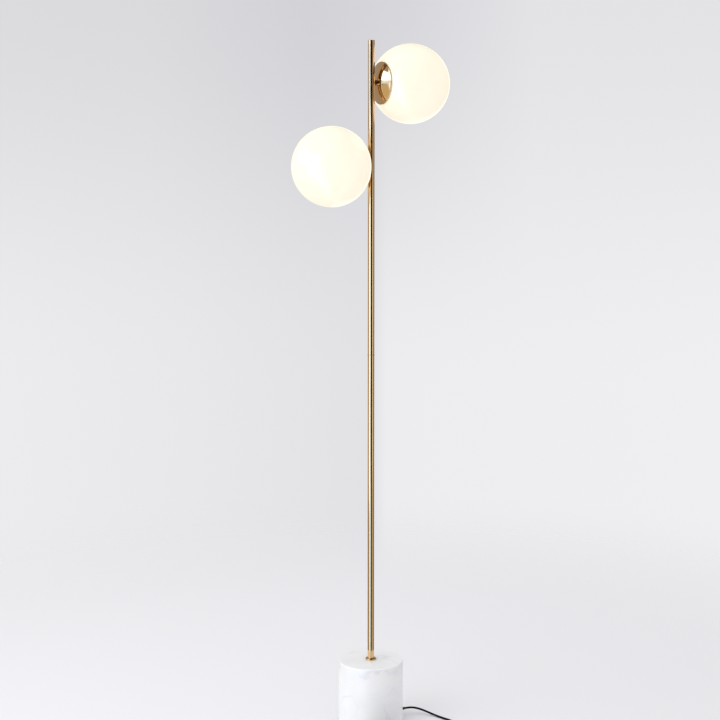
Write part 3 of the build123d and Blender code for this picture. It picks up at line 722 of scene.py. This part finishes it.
def make_world():
    """The pale background that the camera and the metal see, and the even light of a white room."""
    world = bpy.data.worlds.new("studio")
    bpy.context.scene.world = world
    world.use_nodes = True
    tree = world.node_tree
    tree.nodes.clear()
    look = add_node(tree, "ShaderNodeTexCoord")
    height = add_node(tree, "ShaderNodeSeparateXYZ", links={"Vector": look.outputs["Generated"]})
    # Painted shade on the wall: darker left of the pole, darkest just left of it, and darker at the
    # top.
    rightwards = add_node(
        tree,
        "ShaderNodeVectorMath",
        {"operation": "DOT_PRODUCT"},
        {1: (math.cos(camera_turn), -math.sin(camera_turn), 0)},
        {0: look.outputs["Generated"]},
    )
    across = add_node(
        tree,
        "ShaderNodeMapRange",
        values={"From Min": -wall_half_width, "From Max": wall_half_width},
        links={"Value": rightwards.outputs["Value"]},
    )
    up = add_node(
        tree,
        "ShaderNodeMapRange",
        {"interpolation_type": "SMOOTHSTEP"},
        {"From Min": wall_rise[0], "From Max": wall_rise[1]},
        {"Value": height.outputs["Z"]},
    )
    shades = []
    for stops in (level_painted_shade, top_painted_shade):
        ramp = add_node(tree, "ShaderNodeValToRGB", links={"Fac": across.outputs["Result"]})
        while len(ramp.color_ramp.elements) < len(stops):
            ramp.color_ramp.elements.new(0.5)
        for element, (place, code) in zip(ramp.color_ramp.elements, stops):
            element.position = place
            element.color = colour(code)
        shades.append(ramp.outputs["Color"])
    wall = add_node(
        tree,
        "ShaderNodeMix",
        {"data_type": "RGBA"},
        links={0: up.outputs["Result"], 6: shades[0], 7: shades[1]},
    )
    # Above the picture's edge the room is dark, which only the metal shows.
    overhead = add_node(
        tree,
        "ShaderNodeMapRange",
        {"interpolation_type": "SMOOTHSTEP"},
        {"From Min": ceiling_rise[0], "From Max": ceiling_rise[1]},
        {"Value": height.outputs["Z"]},
    )
    room = add_node(
        tree,
        "ShaderNodeMix",
        {"data_type": "RGBA"},
        {7: colour("#4A4540")},
        {0: overhead.outputs["Result"], 6: wall.outputs[2]},
    )
    seen = add_node(tree, "ShaderNodeBackground", links={"Color": room.outputs[2]})
    fill = add_node(
        tree,
        "ShaderNodeBackground",
        values={"Color": colour("#FDFDFF"), "Strength": fill_light},
    )
    # What looks at the room sees its walls, and what is lit by it gets the even light.
    path = add_node(tree, "ShaderNodeLightPath")
    direct = add_node(
        tree,
        "ShaderNodeMath",
        {"operation": "MAXIMUM"},
        links={0: path.outputs["Is Camera Ray"], 1: path.outputs["Is Glossy Ray"]},
    )
    looking = add_node(
        tree,
        "ShaderNodeMath",
        {"operation": "MAXIMUM"},
        links={0: direct.outputs[0], 1: path.outputs["Is Transmission Ray"]},
    )
    either = add_node(
        tree,
        "ShaderNodeMixShader",
        links={0: looking.outputs[0], 1: fill.outputs[0], 2: seen.outputs[0]},
    )
    add_node(tree, "ShaderNodeOutputWorld", links={"Surface": either.outputs[0]})


def make_lamp(name, place, target, size, power):
    """A soft box that lights the object, and that no metal shows."""
    bpy.ops.object.light_add(type="AREA", location=place)
    lamp = bpy.context.object
    lamp.name = name
    lamp.rotation_euler = (target - place).to_track_quat("-Z", "Y").to_euler()
    lamp.data.shape = "RECTANGLE"
    lamp.data.size, lamp.data.size_y = size
    lamp.data.energy = power
    lamp.visible_glossy = False


def keep_card(name, angles, code, strength):
    """Cut the new card to its angles and make it glow, for the metal and the gloss alone."""
    card = bpy.context.object
    card.name = name
    bpy.ops.object.transform_apply(location=True, rotation=True, scale=True)
    bpy.context.tool_settings.mesh_select_mode = (False, False, True)
    bpy.ops.object.mode_set(mode="EDIT")
    bpy.ops.mesh.select_all(action="DESELECT")
    bpy.ops.object.mode_set(mode="OBJECT")
    for face in card.data.polygons:
        angle = angle_round(face.center)
        face.select = not angles[0] < angle < angles[1]
    bpy.ops.object.mode_set(mode="EDIT")
    bpy.ops.mesh.delete(type="FACE")
    bpy.ops.object.mode_set(mode="OBJECT")
    bpy.context.tool_settings.mesh_select_mode = (True, False, False)
    material = bpy.data.materials.new(name)
    material.use_nodes = True
    tree = material.node_tree
    tree.nodes.clear()
    glow = add_node(
        tree, "ShaderNodeEmission", values={"Color": colour(code), "Strength": strength}
    )
    add_node(tree, "ShaderNodeOutputMaterial", links={"Surface": glow.outputs[0]})
    card.data.materials.append(material)
    card.visible_camera = False
    card.visible_diffuse = False
    card.visible_shadow = False
    card.visible_transmission = False


def make_wall_card(name, angles, heights, distance, code, strength):
    """An upright card bent round the pole. Its angles count to the left of the camera's side."""
    deselect_all()
    bpy.ops.mesh.primitive_cylinder_add(
        vertices=card_facets,
        radius=distance,
        depth=heights[1] - heights[0],
        end_fill_type="NOTHING",
        location=(0, 0, (heights[0] + heights[1]) / 2),
    )
    keep_card(name, angles, code, strength)


def make_floor_card(name, angles, radii, code, strength):
    """A flat card on the floor, a slice of a ring, which the lower half of the pole mirrors."""
    deselect_all()
    bpy.ops.mesh.primitive_cone_add(
        vertices=card_facets,
        radius1=radii[1],
        radius2=radii[0],
        depth=floor_card_slope,
        end_fill_type="NOTHING",
        location=(0, 0, floor_card_height),
    )
    keep_card(name, angles, code, strength)


# Each wall card's degrees round the pole, heights and distance in metres, colour and strength.
wall_cards = (
    ("window_card", (20, 72), (-0.6, 1.6), 2.4, "#C0DAFF", 2.7),
    ("upper_window_card", (33, 100), (1.6, 1.88), 2.4, "#B5D0FF", 1.9),
    ("high_window_card", (33, 106), (1.9, 2.62), 2.4, "#DCE8FF", 4.5),
    ("gold_wall_card", (72, 104), (-0.6, 1.5), 2.5, "#FFF2CC", 0.66),
    ("left_wall_card", (80, 176), (-2.5, 3.4), 2.6, "#E4DCD8", 0.5),
    ("dark_room_card", (-38, 35), (-2.5, 3.4), 3.0, "#FFE4C8", 0.01),
    ("corner_card", (-62, -38), (1.3, 3.4), 3.0, "#FFE8D0", 0.42),
    ("right_wall_card", (-150, -76), (-2.5, 3.4), 3.0, "#FFF0E4", 0.25),
)

# Each floor card's degrees round the pole, inner and outer radius in metres, colour and strength.
floor_cards = (
    ("bright_floor_card", (15, 48), (0.42, 2.9), "#B0D4FF", 3.0),
    ("dark_floor_card", (-36, 15), (0.42, 2.9), "#FFE8D0", 0.06),
    ("tan_floor_card", (-76, -36), (0.42, 2.9), "#FFF4E8", 0.6),
    ("right_floor_card", (-150, -76), (0.42, 2.9), "#FFF0E4", 0.25),
    ("near_floor_card", (48, 86), (0.42, 2.9), "#FFF2DC", 0.64),
    ("left_floor_card", (86, 176), (0.42, 2.5), "#E4DCD8", 0.38),
)


def make_studio():
    """A large window-like light on the left, a weaker one above, and the cards that brass shows."""
    lit_point = Vector((0, 0, 0.8))
    # Each lamp's place, what it points at, its size in metres and its power in watts.
    make_lamp("window_light", around(53, 2.6, 1.6), lit_point, (2.6, 2.6), 27)
    make_lamp("top_light", around(100, 0.9, 3.2), lit_point, (2.0, 2.0), 9)
    for card in wall_cards:
        make_wall_card(*card)
    for card in floor_cards:
        make_floor_card(*card)


make_floor()
make_world()
make_studio()
bpy.context.scene.view_settings.view_transform = "Standard"


# ---- Materials -----------------------------------------------------------------------------------
# Patterns read Object coordinates, which are metres, so a pattern of so many millimetres has a
# scale of 1000 divided by them. A wave texture's scale is its period divided by the spacing of
# its lines.

wave_period = math.pi / 10  # from line to line, at a scale of 1


def lay_texture(tree, kind, values, settings=None, stretch=(1, 1, 1), centre=(0, 0, 0)):
    """A texture of any kind in Object coordinates, counted from a centre and stretched by axis."""
    place = add_node(tree, "ShaderNodeTexCoord")
    mapping = add_node(
        tree,
        "ShaderNodeMapping",
        values={"Location": tuple(-c for c in centre), "Scale": tuple(1.0 / s for s in stretch)},
        links={"Vector": place.outputs["Object"]},
    )
    return add_node(tree, kind, settings, values, {"Vector": mapping.outputs["Vector"]})


def blotches(tree, size, detail=3.0, roughness=0.55, stretch=(1, 1, 1)):
    """Random patches of about this size in millimetres, stretched along an axis if it is said."""
    values = {"Scale": 1000.0 / size, "Detail": detail, "Roughness": roughness}
    return lay_texture(tree, "ShaderNodeTexNoise", values, stretch=stretch).outputs["Fac"]


def dress(tree, shader, pattern, shades=None, roughness=None, depth=None, reach=(0.35, 0.65)):
    """Let a pattern colour the surface, vary its roughness and raise it, as far as each is given.

    Shades and roughness change over this reach of the pattern's values. The depth is in
    millimetres.
    """
    share = add_node(
        tree,
        "ShaderNodeMapRange",
        values={"From Min": reach[0], "From Max": reach[1]},
        links={"Value": pattern},
    ).outputs["Result"]
    if shades:
        dark, light = shades
        tint = add_node(
            tree,
            "ShaderNodeMix",
            {"data_type": "RGBA"},
            {6: colour(dark), 7: colour(light)},
            {0: share},
        )
        tree.links.new(tint.outputs[2], shader.inputs["Base Color"])
    if roughness:
        smooth, rough = roughness
        gloss = add_node(tree, "ShaderNodeMix", values={2: smooth, 3: rough}, links={0: share})
        tree.links.new(gloss.outputs[0], shader.inputs["Roughness"])
    if depth:
        relief = add_node(
            tree,
            "ShaderNodeBump",
            values={"Strength": 1.0, "Distance": depth * MM},
            links={"Height": pattern},
        )
        tree.links.new(relief.outputs["Normal"], shader.inputs["Normal"])


brass_shades = ("#E2BC88", "#EDCB9C")


def drawn_brass():
    """Satin brass tube, drawn and brushed lengthwise, then lacquered: warm pale gold.

    The real lines are a tenth of a millimetre wide. They are drawn 2 mm wide and very long, which
    is as fine as the picture shows without sparkle.
    """
    material, tree, shader = new_material("satin_brass_drawn", {"Metallic": 1.0})
    dress(tree, shader, blotches(tree, 2.0, detail=2.0, stretch=(1, 1, 160)), brass_shades)
    dress(tree, shader, blotches(tree, 60.0), roughness=(0.09, 0.14))
    return material


def spun_brass(name, axis, centre):
    """Satin brass sheet, spun on a lathe and lacquered: fine rings round its axis.

    The tool's real lines are about 0.3 mm apart. They are drawn 1.5 mm apart, so that they show.
    """
    material, tree, shader = new_material(name, {"Metallic": 1.0})
    lines = lay_texture(
        tree,
        "ShaderNodeTexWave",
        {
            "Scale": wave_period / (1.5 * MM),
            "Distortion": 0.6,
            "Detail": 2.0,
            "Detail Scale": 0.4,
        },
        {"wave_type": "RINGS", "rings_direction": axis},
        centre=centre,
    ).outputs["Fac"]
    dress(tree, shader, lines, brass_shades, depth=0.003, reach=(0.0, 1.0))
    dress(tree, shader, blotches(tree, 25.0), roughness=(0.08, 0.15))
    return material


def honed_marble():
    """White marble block, honed and waxed: dense calcite crystals, nearly white.

    Grey clouds some 60 mm across and a few broken veins 2 to 4 mm wide run through it.
    """
    material, tree, shader = new_material("honed_white_marble", {"IOR": 1.5})
    wander = 0.09  # metres that the veins stray at most
    faded = 0.022  # how far from the noise's middle value a vein has faded out
    place = add_node(tree, "ShaderNodeTexCoord")
    bend = add_node(
        tree,
        "ShaderNodeTexNoise",
        values={"Scale": 1000.0 / 90.0, "Detail": 4.0, "Roughness": 0.6},
        links={"Vector": place.outputs["Object"]},
    )
    pull = add_node(
        tree,
        "ShaderNodeVectorMath",
        {"operation": "MULTIPLY_ADD"},
        {1: (wander, wander, wander)},
        {0: bend.outputs["Color"], 2: place.outputs["Object"]},
    )
    flow = add_node(
        tree,
        "ShaderNodeTexNoise",
        values={"Scale": 1000.0 / 110.0, "Detail": 2.0, "Roughness": 0.4},
        links={"Vector": pull.outputs["Vector"]},
    )
    # A vein runs where the bent noise crosses its middle value.
    off_middle = add_node(
        tree, "ShaderNodeMath", {"operation": "SUBTRACT"}, {1: 0.5}, {0: flow.outputs["Fac"]}
    )
    away = add_node(
        tree, "ShaderNodeMath", {"operation": "ABSOLUTE"}, links={0: off_middle.outputs[0]}
    )
    vein = add_node(
        tree,
        "ShaderNodeMapRange",
        {"interpolation_type": "SMOOTHSTEP"},
        {"From Min": 0.0, "From Max": faded, "To Min": 1.0, "To Max": 0.0},
        {"Value": away.outputs[0]},
    )
    broken = add_node(
        tree,
        "ShaderNodeMapRange",
        values={"From Min": 0.42, "From Max": 0.66},
        links={"Value": blotches(tree, 70.0, detail=2.0)},
    )
    faint = add_node(
        tree,
        "ShaderNodeMath",
        {"operation": "MULTIPLY"},
        links={0: vein.outputs["Result"], 1: broken.outputs["Result"]},
    )
    clouds = add_node(
        tree,
        "ShaderNodeMapRange",
        values={"From Min": 0.3, "From Max": 0.62},
        links={"Value": blotches(tree, 60.0, detail=5.0)},
    )
    ground = add_node(
        tree,
        "ShaderNodeMix",
        {"data_type": "RGBA"},
        {6: colour("#EEEFF0"), 7: colour("#F4F4F5")},
        {0: clouds.outputs["Result"]},
    )
    veined = add_node(
        tree,
        "ShaderNodeMix",
        {"data_type": "RGBA"},
        {7: colour("#E4E6EA")},
        {0: faint.outputs[0], 6: ground.outputs[2]},
    )
    tree.links.new(veined.outputs[2], shader.inputs["Base Color"])
    crystals = blotches(tree, 2.0, detail=2.0)
    dress(tree, shader, crystals, roughness=(0.26, 0.36), depth=0.01)
    return material


def blown_opal():
    """Opal glass, blown in a mould and lit from inside: milky, glossy and evenly bright.

    Its milk is a little thicker in some places, so its shade drifts over 80 mm.
    """
    material, tree, shader = new_material(
        "blown_opal_glass",
        {"IOR": 1.5, "Emission Color": colour("#FFF6DA"), "Emission Strength": 0.625},
    )
    dress(tree, shader, blotches(tree, 80.0, detail=2.0), ("#B2ACA5", "#B8B2AB"))
    dress(tree, shader, blotches(tree, 30.0), roughness=(0.20, 0.26))
    return material


def moulded(name, shades, roughness, grain, depth, values=None):
    """A moulded or extruded surface: two close shades, and a grain's size and depth in mm."""
    material, tree, shader = new_material(name, values or {})
    dress(tree, shader, blotches(tree, grain * 12), shades)
    dress(tree, shader, blotches(tree, grain, detail=2.0), roughness=roughness, depth=depth)
    return material


def plated(name, shades, roughness, patch):
    """A plated or stamped metal: shades that drift over patches this many millimetres wide."""
    material, tree, shader = new_material(name, {"Metallic": 1.0})
    dress(tree, shader, blotches(tree, patch, detail=4.0), shades, roughness)
    dress(tree, shader, blotches(tree, patch / 6), depth=0.01)
    return material


def turned_aluminium():
    """Aluminium collars turned on a lathe: bright, with lines round them 0.5 mm apart."""
    material, tree, shader = new_material("turned_aluminium", {"Metallic": 1.0})
    lines = lay_texture(
        tree,
        "ShaderNodeTexWave",
        {"Scale": wave_period / (0.5 * MM), "Distortion": 1.0, "Detail": 2.0},
        {"bands_direction": "X"},
    ).outputs["Fac"]
    dress(tree, shader, lines, ("#B9BBBD", "#CDCFD1"), depth=0.01, reach=(0.0, 1.0))
    dress(tree, shader, blotches(tree, 8.0), roughness=(0.28, 0.38))
    return material


def woven_loops():
    """Nylon hook-and-loop tape: black, with a soft nap of loops about half a millimetre wide."""
    material, tree, shader = new_material(
        "nylon_loop_tape",
        {
            "Roughness": 0.9,
            "Sheen Weight": 0.4,
            "Sheen Roughness": 0.5,
            "Sheen Tint": colour("#5A5A5E"),
        },
    )
    loops = lay_texture(tree, "ShaderNodeTexVoronoi", {"Scale": 1000.0 / 0.6}).outputs["Distance"]
    dress(tree, shader, loops, ("#08080A", "#1E1E21"), depth=0.15, reach=(0.1, 0.7))
    return material


def pressed_felt():
    """Wool felt under the block: dark grey, matted fibres, with no gloss."""
    material, tree, shader = new_material(
        "pressed_wool_felt",
        {
            "Roughness": 1.0,
            "Sheen Weight": 0.5,
            "Sheen Roughness": 0.6,
            "Sheen Tint": colour("#6A6A6C"),
        },
    )
    fibres = blotches(tree, 0.9, detail=5.0, roughness=0.75)
    dress(tree, shader, fibres, ("#161617", "#333335"), depth=0.2)
    return material


finish_of_slot = {
    "marble": honed_marble(),
    "brass": drawn_brass(),
    "opal_glass": blown_opal(),
    # Flexible PVC jacket of the lead: extruded, black, with a faint satin sheen.
    "cord_pvc": moulded(
        "black_pvc_jacket",
        ("#040405", "#09090A"),
        (0.50, 0.60),
        0.6,
        0.01,
        {"Specular IOR Level": 0.15},
    ),
    # Thermoplastic rubber of the strain reliefs: moulded, matt black.
    "cord_rubber": moulded("moulded_black_rubber", ("#0C0C0D", "#151517"), (0.6, 0.75), 0.8, 0.02),
    # ABS shells of the foot switch, moulded with a fine spark-eroded texture.
    "switch_plastic": moulded(
        "textured_black_abs", ("#0E0E10", "#17171A"), (0.42, 0.58), 0.7, 0.03
    ),
    # The button is glossy ABS, scuffed by shoes.
    "button_plastic": moulded("glossy_black_abs", ("#121214", "#1B1B1E"), (0.16, 0.36), 1.6, 0.006),
    # PVC plug, moulded over its pins: matt, with a leathery grain.
    "plug_plastic": moulded("moulded_black_pvc", ("#0D0D0F", "#161619"), (0.5, 0.65), 0.9, 0.03),
    # Phenolic resin of the lampholder: hard, dark brown-black and glossy.
    "holder_black": moulded("phenolic_resin", ("#100D0B", "#1B1714"), (0.2, 0.34), 2.5, 0.008),
    "tie_fabric": woven_loops(),
    "felt": pressed_felt(),
    # Nylon terminal block: moulded, ivory and slightly waxy.
    "nylon": moulded("moulded_ivory_nylon", ("#DAD6CA", "#E8E5DB"), (0.38, 0.5), 1.5, 0.01),
    # White PVC insulation of the leads inside the pole: extruded, smooth and satin.
    "lead_pvc": moulded("white_pvc_insulation", ("#D8D8D4", "#E6E6E2"), (0.35, 0.45), 1.0, 0.005),
    # Silicone gasket: soft, milky and dull.
    "gasket_silicone": moulded("milky_silicone", ("#D6D6D0", "#E6E6E0"), (0.45, 0.6), 2.0, 0.01),
    # Zinc-plated steel of rod, nuts, screws and spring: cool grey with a patchy passivated bloom.
    "zinc_steel": plated("zinc_plated_steel", ("#A9ADB3", "#C3C6C9"), (0.28, 0.45), 3.0),
    # Stamped brass of the switch contacts.
    "contact_brass": plated("stamped_brass", ("#C9A35C", "#DDBB77"), (0.25, 0.38), 2.0),
    # Nickel-plated brass of the plug's pins.
    "pin_nickel": plated("nickel_plated_brass", ("#C6C0B4", "#DAD5CB"), (0.16, 0.28), 3.0),
    # Nickel-plated cap of the bulb, rolled thin.
    "bulb_cap_nickel": plated("rolled_nickel_cap", ("#BDB9B0", "#D3D0C8"), (0.22, 0.34), 2.0),
    "collar_aluminium": turned_aluminium(),
    # Polycarbonate shell of the bulb: white, matt and glowing.
    "bulb_opal": moulded(
        "diffusing_polycarbonate",
        ("#E9E6DE", "#F1EEE7"),
        (0.4, 0.5),
        3.0,
        0.005,
        {"Emission Color": colour("#FFF0D2"), "Emission Strength": 0.8},
    ),
}


def give_finish(piece, material):
    piece.data.materials.clear()
    piece.data.materials.append(material)


for subpart in frame["record"]["subparts"]:
    give_finish(nodes[subpart["node"]], finish_of_slot[subpart["material_slot"]])
for cord in (cord_to_switch, cord_to_plug):
    give_finish(cord, finish_of_slot["cord_pvc"])
for piece, slot in (
    (block_bushing, "cord_rubber"),
    (relief_in, "cord_rubber"),
    (relief_out, "cord_rubber"),
    (coil_straps, "tie_fabric"),
    (plug_grips, "plug_plastic"),
    (button_ring, "button_plastic"),
    (press_spring, "zinc_steel"),
):
    give_finish(piece, finish_of_slot[slot])

# The spun and turned pieces have their rings round their own axes.
for head in ("upper", "lower"):
    low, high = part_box(f"{head}_dish")
    arm_height = (low[2] + high[2]) / 2
    head_brass = spun_brass(f"satin_brass_spun_{head}", "X", (0, 0, arm_height))
    give_finish(dishes[head], head_brass)
    give_finish(nodes[f"{head}_gallery_ring"], head_brass)
collar_brass = spun_brass("satin_brass_turned", "Z", (0, 0, 0))
for name in ("base_collar", "pole_cap"):
    give_finish(nodes[name], collar_brass)

bpy.context.view_layer.update()
